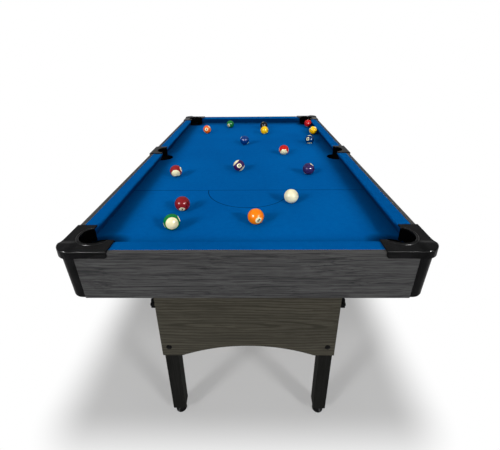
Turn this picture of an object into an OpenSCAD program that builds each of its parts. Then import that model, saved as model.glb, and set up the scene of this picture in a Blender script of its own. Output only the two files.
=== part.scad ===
// Folding six-pocket pool table with its set of balls.
// The origin is on the floor under the middle of the table, +Z is up,
// +Y runs along the table towards the far end and +X towards its right side.

/* [Playing area] */
// Length of the playing area between the cushion noses
play_l = 1730; // [1500:1:2000]
// Width of the playing area between the cushion noses
play_w = 874; // [780:1:960]
// Height of the rail top above the floor
rail_z = 800; // [770:1:840]
// Drop from the rail top to the bed cloth
bed_drop = 38; // [36:1:44]
// Thickness of the bed cloth
bed_cloth_t = 1; // [0.6:0.1:1.6]
// Thickness of the bed boards
bed_t = 15; // [12:1:16]
// Gap between the bed boards and the aprons
bed_gap = 0.3; // [0.2:0.1:1]
// Gap between two bed boards
bed_seam = 0.2; // [0.1:0.1:0.4]
// Wood between a pocket hole and the seams of its board
bed_rim = 12; // [8:1:16]

/* [Rails and cushions] */
// Width of the cloth-covered rail, from the cushion nose to the apron
rail_w = 42; // [40:1:50]
// Width of the wooden rail board behind the cushion rubber
rail_board_w = 20; // [14:1:24]
// Thickness of the cloth over the rail and the cushion
cushion_cloth_t = 1; // [0.6:0.1:1.6]
// Drop from the rail top to the cushion nose
nose_drop = 3; // [2:0.5:9]
// Height of the rounded cushion nose
nose_h = 5; // [3:0.5:7]
// Width of the slope from the rail top to the nose
nose_slope_w = 3; // [2:1:12]
// How far the cushion is cut back below the nose
nose_undercut = 16; // [12:1:20]

/* [Aprons] */
// Thickness of the apron boards, seen as the strip round the rail top
apron_t = 13; // [12:1:18]
// Height of the aprons
apron_h = 154; // [135:1:170]
// How far the apron bottom stands in from its top
apron_taper = 7; // [4:0.5:10]

/* [Corner posts] */
// Outer radius of the corner posts at the rail top
post_r = 40; // [36:1:46]
// Straight stretch of a post on each side of its round corner
post_flat = 8; // [5:1:14]
// Rounding of the lower outer edge of a post
post_foot_r = 7; // [5:1:13]
// Thickness of the fixing tabs behind the aprons
post_tab_t = 3; // [2:0.5:4]
// Length of the fixing tabs
post_tab_l = 16; // [10:1:20]

/* [Pocket caps] */
// Overhang of the caps outside the aprons
cap_over = 6; // [4:0.5:9]
// Thickness of the cap plates above the rail top
cap_rise = 4; // [3:0.5:6]
// Depth of the cap skirt below the rail top
cap_skirt = 13; // [9:1:18]
// Outer radius of a corner cap
cap_r = 46; // [42:1:52]
// Length of a corner cap along each rail, from the apron corner
cap_wing = 137; // [125:1:150]
// Length of a side cap
side_cap_l = 122; // [112:1:135]
// Rounding of the outer cap edges
cap_edge_r = 3; // [1:0.5:4]
// Rounding of the lower skirt ends
skirt_end_r = 7; // [3:0.5:8]
// Rounding of the pocket rims
rim_edge_r = 3; // [1:0.5:3.5]
// Gap between a cap skirt and the apron
cap_gap = 0.3; // [0.2:0.1:0.6]

/* [Pockets] */
// Radius of the pocket rims and throats
throat_r = 45; // [42:0.5:47]
// Wall of the pocket throats
throat_t = 2.5; // [2:0.5:3]
// Offset of a corner pocket centre inside the corner of the nose lines
corner_in = 24; // [22:1:27]
// Distance from a corner pocket centre to where the cushion noses turn away to it
jaw_l = 84; // [76:1:92]
// Angle by which the cushion noses turn away to a corner pocket
jaw_angle = 13; // [8:1:15]
// How far a side pocket rim reaches outside the nose line
side_out = 34; // [31:1:36]
// Offset of a side cup centre outside the nose line
side_cup_out = 8; // [4:1:14]
// Gap between a throat wall and the cut rail
throat_gap = 0.5; // [0.3:0.1:1]
// Radius of the holes in the bed
bed_hole_r = 46; // [44:0.5:48]
// Wall of the ball cups
cup_t = 2.5; // [2:0.5:3]
// Gap between a cup collar and its hole
cup_gap = 0.2; // [0.1:0.1:0.5]
// Width of the cup flange under the bed
cup_flange = 12; // [8:1:14]
// Depth of the cups below the bed boards
cup_depth = 86; // [70:1:92]
// Gap between a side cup and the apron
cup_back_gap = 0.4; // [0.3:0.1:1]

/* [Bed bearers] */
// Width of the ledgers along the side aprons
ledger_w = 22; // [16:1:30]
// Height of the ledgers
ledger_h = 30; // [20:1:40]
// Width of the long stringers
stringer_w = 20; // [15:1:30]
// Height of the long stringers
stringer_h = 24; // [15:1:26]
// Distance between the stringers, middle to middle
stringer_gap = 360; // [300:1:400]
// Thickness of the hinge boards over the legs
hinge_board_t = 12; // [10:1:14]
// Width of the hinge boards along the table
hinge_board_w = 90; // [80:1:110]
// Length of the hinge boards across the table
hinge_board_l = 680; // [640:1:720]

/* [Folding legs] */
// Distance from the end of the table to the middle of the legs
leg_inset = 120.5; // [116:0.5:140]
// Width of the square legs
leg_s = 45; // [40:1:50]
// Drop from the rail top to the leg pivots
pivot_drop = 104; // [103:1:106]
// Height of a leg above its pivot
leg_top = 25; // [20:1:26]
// Diameter of the pivot bolts
pivot_d = 10; // [8:1:12]
// Radial running clearance of the bolts and studs
run_gap = 0.1; // [0.05:0.01:0.1]
// Height of the leg ends above the floor
leg_end_z = 30; // [26:1:40]

/* [Leg panels] */
// Width of a leg panel over the legs
panel_w = 572; // [520:1:600]
// Thickness of a leg panel
panel_t = 18; // [12:1:19]
// Drop from the rail top to the panel top
panel_top = 160; // [155:1:180]
// Drop from the rail top to the panel bottom
panel_bottom = 465; // [430:1:500]
// Width of the arch under the panel
arch_w = 438; // [400:1:450]
// Rise of the arch under the panel
arch_rise = 44; // [30:1:60]
// Offset of the panel bolts from the panel sides
bolt_in = 24.5; // [20:0.5:26]
// Offset of the lower panel bolts from the panel bottom
bolt_up = 38.5; // [30:0.5:50]
// Offset of the upper panel bolts from the panel top
bolt_down = 45; // [35:1:60]
// Diameter of the panel bolts
bolt_d = 6; // [5:0.5:8]
// Diameter of the panel bolt heads
bolt_head_d = 13; // [11:0.5:16]
// Height of the panel bolt heads
bolt_head_h = 3; // [2:0.5:4]
// How far a panel bolt goes into a leg
bolt_grip = 30; // [20:1:36]
// Height of the stretcher between the legs
stretcher_h = 40; // [30:1:60]
// Thickness of the stretcher between the legs
stretcher_t = 20; // [15:1:28]

/* [Leg brackets] */
// Thickness of the steel bracket plates
plate_t = 3; // [2:0.5:3]
// Gap between a leg and each bracket plate
plate_gap = 0.5; // [0.3:0.1:1]
// Radius of the arc slot round the pivot
quad_r = 170; // [150:1:180]
// Steel left on each side of the arc slot's middle line
quad_band = 15; // [12:1:18]
// Width of the arc slot
slot_w = 9; // [8.8:0.1:10]
// Half width of the plate round the pivot
ear_r = 24; // [18:1:28]
// Width of the flanges under the hinge board
flange_w = 26; // [18:1:32]

/* [Clamp knobs] */
// Diameter of the knob stud
stud_d = 8; // [6:0.5:8]
// How far the stud goes into the leg
stud_grip = 20; // [14:1:25]
// Radius of the knob's lobes
lobe_r = 5.5; // [4:0.5:7]
// Distance of the lobes from the knob's middle
lobe_out = 11; // [9:0.5:13]
// Thickness of the star of the knob
knob_t = 12; // [9:1:16]
// Radius of the knob's collar
collar_r = 8; // [7:0.5:10]
// Length of the knob's collar
collar_t = 8; // [5:1:10]
// Gap between the knob and the bracket plate
knob_gap = 0.3; // [0.2:0.1:0.6]

/* [Levelling feet] */
// Diameter of the foot pad
foot_d = 40; // [34:1:44]
// Height of the straight edge of the foot pad
foot_edge = 6; // [4:1:8]
// Height of the foot pad
foot_h = 13; // [10:1:16]
// Diameter of the foot's screw
foot_screw_d = 10; // [8:1:12]
// How far the foot's screw goes into the leg
foot_grip = 30; // [20:1:40]
// Width across the corners of the lock nut
foot_nut_d = 20; // [17:1:24]
// Height of the lock nut
foot_nut_h = 7; // [5:1:9]

/* [Balls] */
// Diameter of the balls
ball_d = 50.8; // [48:0.1:51]
// Gap under a ball
ball_gap = 0.3; // [0.2:0.1:0.5]

/* [Hidden] */
$fn = 96;
cut = 1;            // overshoot of the cutting tools
half_l = play_l / 2 + rail_w + apron_t;   // half of the outer length at the rail top
half_w = play_w / 2 + rail_w + apron_t;   // half of the outer width at the rail top
nose_l = play_l / 2;
nose_w = play_w / 2;
bed_top = -bed_drop - bed_cloth_t;        // heights below are measured from the rail top
bed_under = bed_top - bed_t;
slope = apron_taper / apron_h;
post_w = post_r + post_flat;              // post's width along each apron
cap_gap_in = cap_over - cap_gap;          // thickness of the cap skirt
cap_reach = rail_w + apron_t + cap_over;  // width of a cap across the rail
corner_x = nose_w - corner_in;            // middle of a corner pocket
corner_y = nose_l - corner_in;
side_x = nose_w + side_out - throat_r;    // middle of a side pocket rim
side_cup_x = nose_w + side_cup_out;       // middle of a side cup
rail_cut_r = throat_r + throat_t + throat_gap;
leg_y = half_l - leg_inset;               // middle of the far legs
leg_x = panel_w / 2 - leg_s / 2;          // middle of the right legs
pivot_z = rail_z - pivot_drop;
beam_under = bed_under - hinge_board_t;   // underside of the hinge boards
plate_top = pivot_drop + beam_under;      // bracket's height above the pivot
bed_cut = post_w - 8;                     // chamfer of the bed's corners inside the posts
knob_x = panel_w / 2 + plate_gap + plate_t + knob_gap;
ball_z = rail_z - bed_drop + ball_d / 2 + ball_gap;

// Each ball's name, its place on the bed as shares of the way from the middle of the bed
// to the side and end cushions, and its colour
balls = [
    ["cue", 0.376, -0.653, "ivory"],
    ["1", 0.223, 0.600, "gold"],
    ["2", -0.078, 0.294, "navy"],
    ["3", 0.994, 0.850, "firebrick"],
    ["4", 0.636, -0.306, "purple"],
    ["5", 0.064, -0.837, "darkorange"],
    ["6", -0.352, 0.838, "darkgreen"],
    ["7", -0.546, -0.724, "maroon"],
    ["8", 0.225, 0.777, "black"],
    ["9", 0.994, 0.589, "gold"],
    ["10", 0.846, 0.304, "navy"],
    ["11", 0.436, 0.051, "firebrick"],
    ["12", -0.113, -0.247, "purple"],
    ["13", -0.703, 0.641, "darkorange"],
    ["14", -0.562, -0.878, "darkgreen"],
    ["15", -0.776, -0.330, "maroon"],
];
ends = ["near", "far"];
sides = ["left", "right"];

// Places its children, drawn at the far right, at the end and side that are named
module at_corner(e, s)
    mirror([s == "left" ? 1 : 0, 0, 0]) mirror([0, e == "near" ? 1 : 0, 0]) children();

// Draws its children in all four corners
module all_corners()
    for (e = ends, s = sides) at_corner(e, s) children();

// Extrudes a profile of X and height along the table, centred, at the rail top's height
module along_table(len)
    translate([0, 0, rail_z]) rotate([90, 0, 0]) linear_extrude(len, center = true) children();

// Extrudes a profile of Y and height across the table, centred, at the rail top's height
module across_table(len)
    translate([0, 0, rail_z]) rotate([90, 0, 90]) linear_extrude(len, center = true) children();

// Cuts the outer top corner of radius r, at the point given, off a profile
module edge_tool(p, r)
    translate([p[0] - r, p[1] - r]) difference() {
        square(r + cut);
        circle(r);
    }

// Cuts the lower outer corner of radius r, at the point given, off a profile
module foot_tool(p, r)
    translate([p[0] - r, p[1] + r]) mirror([0, 1]) difference() {
        square(r + cut);
        circle(r);
    }

// Apron profile: its outer top edge is the origin
module apron_profile()
    polygon([
        [0, 0],
        [-apron_taper, -apron_h],
        [-apron_taper - apron_t, -apron_h],
        [-apron_t, 0],
    ]);

// Post profile: the apron's own, with a rounded foot
module post_profile()
    difference() {
        apron_profile();
        foot_tool([-apron_taper, -apron_h], post_foot_r);
    }

// Fixing tab of a post, which lies on the inner face of the apron
module tab_profile() {
    tab_top = bed_under - cup_t - cut;
    tab_low = -apron_h + post_foot_r;
    polygon([
        [-apron_t + slope * tab_top, tab_top],
        [-apron_t + slope * tab_low, tab_low],
        [-apron_t - post_tab_t + slope * tab_low, tab_low],
        [-apron_t - post_tab_t + slope * tab_top, tab_top],
    ]);
}

// Cap profile: a plate on the rail top with a rounded edge and a skirt
module cap_profile()
    difference() {
        polygon([
            [0, cap_rise],
            [0, -cap_skirt],
            [-cap_gap_in, -cap_skirt],
            [-cap_gap_in, 0],
            [-cap_reach, 0],
            [-cap_reach, cap_rise],
        ]);
        edge_tool([0, cap_rise], cap_edge_r);
    }

// Outline of a covered rail, drawn in by t: the nose line is the origin, the rail top is zero
module rail_outline(t) {
    low = -bed_drop;
    polygon([
        [rail_w - slope * t, -t],
        [nose_slope_w, -t],
        [t, -nose_drop + (t > 0 ? t / 4 : 0)],
        [t, -nose_drop - nose_h],
        [nose_undercut + t, low + t],
        [rail_w + slope * (low + t), low + t],
    ]);
}

// Cloth skin of a rail, which wraps over the top, the nose and under the cushion
module rail_cloth_profile()
    difference() {
        rail_outline(0);
        rail_outline(cushion_cloth_t);
    }

// Wooden rail board behind the rubber
module rail_board_profile()
    intersection() {
        rail_outline(cushion_cloth_t);
        translate([rail_w - rail_board_w, -2 * bed_drop]) square([rail_board_w, 2 * bed_drop]);
    }

// Rubber cushion between the nose and the rail board
module rubber_profile()
    intersection() {
        rail_outline(cushion_cloth_t);
        translate([0, -2 * bed_drop]) square([rail_w - rail_board_w, 2 * bed_drop]);
    }

// Cut that turns the nose of an end rail away to a corner pocket, drawn round the pocket's middle
module jaw_cut()
    linear_extrude(2 * rail_z) polygon([
        [-jaw_l, 0], [0, 0], [0, corner_in + jaw_l * tan(jaw_angle)], [-jaw_l, corner_in],
    ]);

// Vertical cuts of the pocket throats and jaws through the rails
module throat_cuts() {
    all_corners() translate([corner_x, corner_y, 0]) {
        cylinder(h = 2 * rail_z, r = rail_cut_r);
        jaw_cut();
        mirror([1, -1, 0]) jaw_cut();
    }
    for (s = sides) at_corner("far", s)
        translate([side_x, 0, 0]) cylinder(h = 2 * rail_z, r = rail_cut_r);
}

// Six rail stretches between the pockets, with the profile given as a child
module rails() {
    side_start = throat_r / 2;
    side_stop = corner_y - throat_r / 2;
    end_stop = corner_x - throat_r / 2;
    difference() {
        union() {
            all_corners() translate([nose_w, (side_start + side_stop) / 2, 0])
                along_table(side_stop - side_start) children();
            for (e = ends) at_corner(e, "right") translate([0, nose_l, 0])
                across_table(2 * end_stop) children();
        }
        throat_cuts();
    }
}

module rail_boards() color("burlywood") rails() rail_board_profile();

module cushion_rubbers() color("tan") rails() rubber_profile();

module cushion_cloths() color("royalblue") rails() rail_cloth_profile();

// Outline of the bed with its corners cut off inside the posts and its six pocket holes
module bed_outline() {
    edge = apron_t - slope * bed_under + bed_gap;
    w = half_w - edge;
    l = half_l - edge;
    difference() {
        polygon([
            [w, l - bed_cut], [w - bed_cut, l], [-w + bed_cut, l], [-w, l - bed_cut],
            [-w, -l + bed_cut], [-w + bed_cut, -l], [w - bed_cut, -l], [w, -l + bed_cut],
        ]);
        for (x = [-1, 1], y = [-1, 1]) translate([x * corner_x, y * corner_y]) circle(bed_hole_r);
        for (x = [-1, 1]) translate([x * side_cup_x, 0]) circle(bed_hole_r);
    }
}

// Seams of the bed: a field board, long boards beside it and a small board round each pocket
module bed_seams() {
    x = corner_x - bed_hole_r - bed_rim;
    for (s = [-1, 1]) {
        translate([s * x - bed_seam / 2, -half_l]) square([bed_seam, 2 * half_l]);
        for (e = [-1, 1], y = [bed_hole_r + bed_rim, corner_y - bed_hole_r - bed_rim])
            translate([s > 0 ? x : -half_w, e * y - bed_seam / 2]) square([half_w - x, bed_seam]);
    }
}

module bed_board() color("peru")
    translate([0, 0, rail_z + bed_under]) linear_extrude(bed_t) difference() {
        bed_outline();
        bed_seams();
    }

module bed_cloth() color("royalblue")
    translate([0, 0, rail_z + bed_top]) linear_extrude(bed_cloth_t) bed_outline();

module apron_end(e) color("dimgray")
    at_corner(e, "right") translate([0, half_l, 0])
        across_table(2 * (half_w - post_w)) apron_profile();

module apron_side(s) color("dimgray")
    at_corner("far", s) translate([half_w, 0, 0])
        along_table(2 * (half_l - post_w)) apron_profile();

// Corner post: a turned corner with a short flat and a fixing tab on each side
module corner_post() {
    arm = post_flat + post_tab_l;
    translate([half_w - post_r, half_l - post_r, rail_z])
        rotate_extrude(angle = 90) translate([post_r, 0]) post_profile();
    translate([half_w, half_l - post_w + post_flat / 2, 0]) along_table(post_flat) post_profile();
    translate([half_w - post_w + post_flat / 2, half_l, 0]) across_table(post_flat) post_profile();
    translate([half_w, half_l - post_r - arm / 2, 0]) along_table(arm) tab_profile();
    translate([half_w - post_r - arm / 2, half_l, 0]) across_table(arm) tab_profile();
}

module corner_posts() color("black") all_corners() corner_post();

// Pocket throat of a cap: a wall that stands on the bed behind the nose lines
module throat_wall()
    translate([0, 0, rail_z - bed_drop + throat_gap]) difference() {
        cylinder(h = bed_drop + cap_rise - throat_gap, r = throat_r + throat_t);
        translate([0, 0, -cut]) cylinder(h = bed_drop + cap_rise + 2 * cut, r = throat_r);
    }

// Pocket mouth cut through a cap, with a rounded rim
module throat_mouth() {
    translate([0, 0, rail_z - bed_drop]) cylinder(h = bed_drop + cap_rise + cut, r = throat_r);
    translate([0, 0, rail_z]) rotate_extrude()
        translate([throat_r, cap_rise - rim_edge_r]) difference() {
            square(rim_edge_r + cut);
            translate([rim_edge_r, 0]) circle(rim_edge_r);
            translate([rim_edge_r, -cut]) square(rim_edge_r + 2 * cut);
        }
}

// Turned corner of a cap between its wings
module cap_corner()
    rotate_extrude(angle = 90) intersection() {
        translate([cap_r, 0]) cap_profile();
        translate([0, -cap_skirt]) square([cap_r, cap_skirt + cap_rise]);
    }

// Rounds the lower end of a skirt that runs along the table and ends at y
module skirt_end(y)
    translate([half_w + cap_over / 2, 0, 0]) across_table(2 * cap_over)
        mirror([1, 0]) foot_tool([-y, -cap_skirt], skirt_end_r);

// Corner cap: two wings and a turned corner round a pocket throat
module corner_cap(e, s) color("black") at_corner(e, s) {
    wing = cap_wing + cap_over - cap_r;
    mid_x = half_w + cap_over - cap_r;
    mid_y = half_l + cap_over - cap_r;
    wall_h = 2 * bed_drop;
    difference() {
        union() {
            translate([half_w + cap_over, mid_y - wing / 2, 0]) along_table(wing) cap_profile();
            translate([mid_x - wing / 2, half_l + cap_over, 0]) across_table(wing) cap_profile();
            translate([mid_x, mid_y, rail_z]) cap_corner();
            intersection() {
                translate([corner_x, corner_y, 0]) throat_wall();
                translate([0, 0, rail_z - bed_drop]) union() {
                    translate([nose_w, nose_l - cap_wing, 0]) cube([cap_wing, 2 * cap_wing, wall_h]);
                    translate([nose_w - cap_wing, nose_l, 0]) cube([2 * cap_wing, cap_wing, wall_h]);
                }
            }
        }
        translate([corner_x, corner_y, 0]) throat_mouth();
        skirt_end(mid_y - wing);
        translate([mid_x, mid_y, 0]) mirror([1, -1, 0]) translate([-mid_x, -mid_y, 0])
            skirt_end(mid_y - wing);
    }
}

// Side cap: a straight plate round a side pocket throat
module side_cap(s) color("black") at_corner("far", s)
    difference() {
        union() {
            translate([half_w + cap_over, 0, 0]) along_table(side_cap_l) cap_profile();
            intersection() {
                translate([side_x, 0, 0]) throat_wall();
                translate([nose_w, -side_cap_l / 2, rail_z - bed_drop])
                    cube([cap_reach, side_cap_l, 2 * bed_drop]);
            }
        }
        translate([side_x, 0, 0]) throat_mouth();
        for (y = [0, 1]) mirror([0, y, 0]) skirt_end(-side_cap_l / 2);
    }

// Solid form of a ball cup: a collar in the bed, a flange under it and the basket
module cup_body() {
    collar_r_out = bed_hole_r - cup_gap;
    translate([0, 0, rail_z]) rotate_extrude() polygon([
        [0, bed_top + bed_cloth_t / 2],
        [collar_r_out, bed_top + bed_cloth_t / 2],
        [collar_r_out, bed_under],
        [collar_r_out + cup_flange, bed_under],
        [collar_r_out + cup_flange, bed_under - cup_t],
        [collar_r_out, bed_under - cup_t],
        [collar_r_out - cup_t, bed_under - cup_depth],
        [0, bed_under - cup_depth],
    ]);
}

// Hollow of a ball cup
module cup_hollow() {
    hollow_r = bed_hole_r - cup_gap - cup_t;
    translate([0, 0, rail_z]) rotate_extrude() polygon([
        [0, bed_top + bed_cloth_t + cut],
        [hollow_r, bed_top + bed_cloth_t + cut],
        [hollow_r, bed_under - cup_t],
        [hollow_r - cup_t, bed_under - cup_depth + cup_t],
        [0, bed_under - cup_depth + cup_t],
    ]);
}

module corner_cup(e, s) color("black") at_corner(e, s)
    translate([corner_x, corner_y, 0]) difference() {
        cup_body();
        cup_hollow();
    }

// Keeps what lies inside the plane X = x
module inside_of(x)
    intersection() {
        children();
        translate([-half_w, -half_w, 0]) cube([half_w + x, 2 * half_w, 2 * rail_z]);
    }

// Side cup: the same basket with a flat back against the apron
module side_cup(s) color("black") at_corner("far", s) {
    back = half_w - apron_t + slope * (bed_under - cup_depth) - cup_back_gap;
    difference() {
        inside_of(back) translate([side_cup_x, 0, 0]) cup_body();
        inside_of(back - cup_t) translate([side_cup_x, 0, 0]) cup_hollow();
    }
}

// Ledgers under the bed along the side aprons, clear of the pockets
module bed_ledgers() color("burlywood") all_corners() {
    outer = half_w - apron_t + slope * (bed_under - ledger_h) - bed_gap;
    start = bed_hole_r + cup_flange + cut;
    stop = corner_y - bed_hole_r - cup_flange - cut;
    translate([outer - ledger_w, start, rail_z + bed_under - ledger_h])
        cube([ledger_w, stop - start, ledger_h]);
}

// Stringers under the bed between the hinge boards
module bed_stringers() color("burlywood") {
    len = 2 * (leg_y - hinge_board_w / 2);
    for (x = [-1, 1])
        translate([x * stringer_gap / 2 - stringer_w / 2, -len / 2, rail_z + bed_under - stringer_h])
            cube([stringer_w, len, stringer_h]);
}

module hinge_boards() color("burlywood")
    for (e = ends) at_corner(e, "right")
        translate([-hinge_board_l / 2, leg_y - hinge_board_w / 2, rail_z + beam_under])
            cube([hinge_board_l, hinge_board_w, hinge_board_t]);

// Places a plate outline across the right far leg: X of the outline points inwards along the table
module beside_leg(x)
    translate([x, leg_y, pivot_z]) rotate([90, 0, -90]) children();

// Arc-slotted outer plate of a leg bracket, drawn round its pivot
module quadrant_outline() {
    rim = quad_r + quad_band;
    difference() {
        union() {
            translate([-ear_r, 0]) square([ear_r + rim, plate_top]);
            translate([-quad_band, -quad_r]) square([quad_band + cut, quad_r + cut]);
            translate([0, -quad_r]) circle(quad_band);
            circle(ear_r);
            intersection() {
                circle(rim);
                translate([0, -rim]) square(rim + cut);
            }
        }
        circle(d = pivot_d + 2 * run_gap);
        intersection() {
            difference() {
                circle(quad_r + slot_w / 2);
                circle(quad_r - slot_w / 2);
            }
            translate([0, -rim]) square(rim);
        }
        translate([0, -quad_r]) circle(d = slot_w);
        translate([quad_r, 0]) circle(d = slot_w);
    }
}

// Plain inner ear of a leg bracket
module ear_outline()
    difference() {
        union() {
            translate([-ear_r, 0]) square([2 * ear_r, plate_top]);
            circle(ear_r);
        }
        circle(d = pivot_d + 2 * run_gap);
    }

// Flange of a bracket plate under the hinge board, from the plate's face at x and away from the leg
module bracket_flange(x)
    translate([x, leg_y - ear_r, rail_z + beam_under - plate_t])
        cube([flange_w, 2 * ear_r, plate_t]);

// Outer half of a leg bracket: the slotted quadrant with its flange
module leg_brackets() color("#202020") all_corners() {
    inside = panel_w / 2 + plate_gap;
    beside_leg(inside + plate_t) linear_extrude(plate_t) quadrant_outline();
    bracket_flange(inside);
}

// Inner half of a leg bracket: the plain ear with its flange
module bracket_ears() color("#202020") all_corners() {
    inside = panel_w / 2 - leg_s - plate_gap;
    beside_leg(inside) linear_extrude(plate_t) ear_outline();
    bracket_flange(inside - flange_w);
}

// Pivot bolt with its round head and its nut outside the bracket's plates
module pivot_bolt() {
    head_t = 0.6 * pivot_d;
    outer = panel_w / 2 + plate_gap + plate_t;
    inner = panel_w / 2 - leg_s - plate_gap - plate_t;
    translate([inner - head_t, leg_y, pivot_z]) rotate([0, 90, 0]) {
        cylinder(h = outer - inner + 2 * head_t, d = pivot_d);
        cylinder(h = head_t, d = 1.8 * pivot_d, $fn = 6);
        translate([0, 0, outer - inner + head_t]) cylinder(h = head_t, d = 1.7 * pivot_d);
    }
}

module pivot_bolts() color("silver") all_corners() pivot_bolt();

// Bolt places on a leg panel, as a height for each of the two rows
bolt_rows = [rail_z - panel_bottom + bolt_up, rail_z - panel_top - bolt_down];

// Panel bolt's shape along its axis, drawn from the face of the panel, with extra radius g
module bolt_shank(g)
    for (z = bolt_rows)
        translate([panel_w / 2 - bolt_in, leg_y + leg_s / 2 + panel_t, z]) rotate([90, 0, 0])
            cylinder(h = panel_t + bolt_grip, d = bolt_d + 2 * g);

// Square leg with its pivot, clamp, panel and foot bores
module leg()
    difference() {
        translate([leg_x - leg_s / 2, leg_y - leg_s / 2, leg_end_z])
            cube([leg_s, leg_s, pivot_z + leg_top - leg_end_z]);
        translate([leg_x - leg_s, leg_y, pivot_z]) rotate([0, 90, 0])
            cylinder(h = 2 * leg_s, d = pivot_d + 2 * run_gap);
        translate([panel_w / 2 - stud_grip - cut, leg_y, pivot_z - quad_r]) rotate([0, 90, 0])
            cylinder(h = stud_grip + 2 * cut, d = stud_d + 2 * run_gap);
        translate([leg_x, leg_y, leg_end_z - cut])
            cylinder(h = foot_grip + 2 * cut, d = foot_screw_d + 2 * run_gap);
        bolt_shank(run_gap);
    }

module legs(e) color("#1c1c1c")
    for (s = sides) at_corner(e, s) leg();

// Leg panel with the flat arch along its lower edge
module leg_panel(e) color("#4a463c") at_corner(e, "right") {
    low = rail_z - panel_bottom;
    arch_r = (arch_w * arch_w / 4 + arch_rise * arch_rise) / (2 * arch_rise);
    difference() {
        translate([0, leg_y + leg_s / 2 + panel_t, 0]) rotate([90, 0, 0])
            linear_extrude(panel_t) difference() {
                translate([-panel_w / 2, low]) square([panel_w, panel_bottom - panel_top]);
                translate([0, low + arch_rise - arch_r]) circle(arch_r, $fn = 200);
            }
        for (s = sides) at_corner("far", s) bolt_shank(run_gap);
    }
}

module leg_stretcher(e) color("#1c1c1c") at_corner(e, "right")
    translate([leg_s - panel_w / 2, leg_y - stretcher_t / 2, rail_z - panel_top - stretcher_h])
        cube([panel_w - 2 * leg_s, stretcher_t, stretcher_h]);

// Panel bolts with low domed heads
module panel_bolts(e) color("black")
    for (s = sides) at_corner(e, s) {
        dome_r = (bolt_head_d * bolt_head_d / 4 + bolt_head_h * bolt_head_h) / (2 * bolt_head_h);
        bolt_shank(0);
        for (z = bolt_rows)
            translate([panel_w / 2 - bolt_in, leg_y + leg_s / 2 + panel_t, z]) rotate([-90, 0, 0])
                intersection() {
                    translate([0, 0, bolt_head_h - dome_r]) sphere(dome_r);
                    cylinder(h = bolt_head_h, d = bolt_head_d);
                }
    }

// Star knob on a stud that runs through the arc slot into the leg
module clamp_knob(e, s) color("black") at_corner(e, s)
    translate([knob_x, leg_y, pivot_z - quad_r]) rotate([90, 0, 90]) {
        stud_l = stud_grip + knob_x - panel_w / 2;
        translate([0, 0, -stud_l]) cylinder(h = stud_l + collar_t, d = stud_d);
        cylinder(h = collar_t, r = collar_r);
        translate([0, 0, collar_t]) linear_extrude(knob_t) union() {
            circle(lobe_out);
            for (a = [0 : 72 : 288]) rotate(a) translate([0, lobe_out]) circle(lobe_r);
        }
    }

// Levelling foot: a pad with a sloped shoulder, a screw and a lock nut under the leg
module levelling_foot(e, s) color("#181818") at_corner(e, s)
    translate([leg_x, leg_y, 0]) {
        rotate_extrude() polygon([
            [0, 0],
            [foot_d / 2, 0],
            [foot_d / 2, foot_edge],
            [foot_screw_d, foot_h],
            [foot_screw_d / 2, foot_h],
            [foot_screw_d / 2, leg_end_z + foot_grip],
            [0, leg_end_z + foot_grip],
        ]);
        translate([0, 0, leg_end_z - foot_nut_h - throat_gap])
            cylinder(h = foot_nut_h, d = foot_nut_d, $fn = 6);
    }

module ball(b) color(b[3])
    translate([b[1] * (nose_w - ball_d / 2), b[2] * (nose_l - ball_d / 2), ball_z])
        sphere(d = ball_d);

bed_board();
bed_cloth();
rail_boards();
cushion_rubbers();
cushion_cloths();
corner_posts();
bed_ledgers();
bed_stringers();
hinge_boards();
leg_brackets();
bracket_ears();
pivot_bolts();
for (e = ends) {
    apron_end(e);
    legs(e);
    leg_panel(e);
    leg_stretcher(e);
    panel_bolts(e);
}
for (s = sides) {
    apron_side(s);
    side_cap(s);
    side_cup(s);
}
for (e = ends, s = sides) {
    corner_cap(e, s);
    corner_cup(e, s);
    clamp_knob(e, s);
    levelling_foot(e, s);
}
for (b = balls)
    ball(b);
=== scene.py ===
# Folding six-pocket pool table: cloth, wood grain, mouldings, balls, light and camera.
# Metres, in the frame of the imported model: origin on the floor, +Z up, +Y along the table.
import math

import bmesh
import bpy
from mathutils import Matrix, Vector


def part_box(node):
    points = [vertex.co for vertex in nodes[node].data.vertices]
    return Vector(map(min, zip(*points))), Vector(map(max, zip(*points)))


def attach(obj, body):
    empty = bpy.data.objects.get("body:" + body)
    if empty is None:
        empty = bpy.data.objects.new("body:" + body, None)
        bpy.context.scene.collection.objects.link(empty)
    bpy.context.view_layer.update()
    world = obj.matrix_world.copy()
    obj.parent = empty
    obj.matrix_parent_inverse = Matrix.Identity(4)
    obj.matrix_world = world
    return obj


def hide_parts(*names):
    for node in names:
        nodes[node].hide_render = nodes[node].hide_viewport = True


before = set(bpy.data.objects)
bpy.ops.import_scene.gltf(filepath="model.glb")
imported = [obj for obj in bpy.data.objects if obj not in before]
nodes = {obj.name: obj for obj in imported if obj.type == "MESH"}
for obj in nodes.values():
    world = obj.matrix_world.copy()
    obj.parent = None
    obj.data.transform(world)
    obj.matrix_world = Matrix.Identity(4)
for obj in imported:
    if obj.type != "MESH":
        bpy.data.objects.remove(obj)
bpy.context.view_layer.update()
scene = bpy.context.scene

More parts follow.
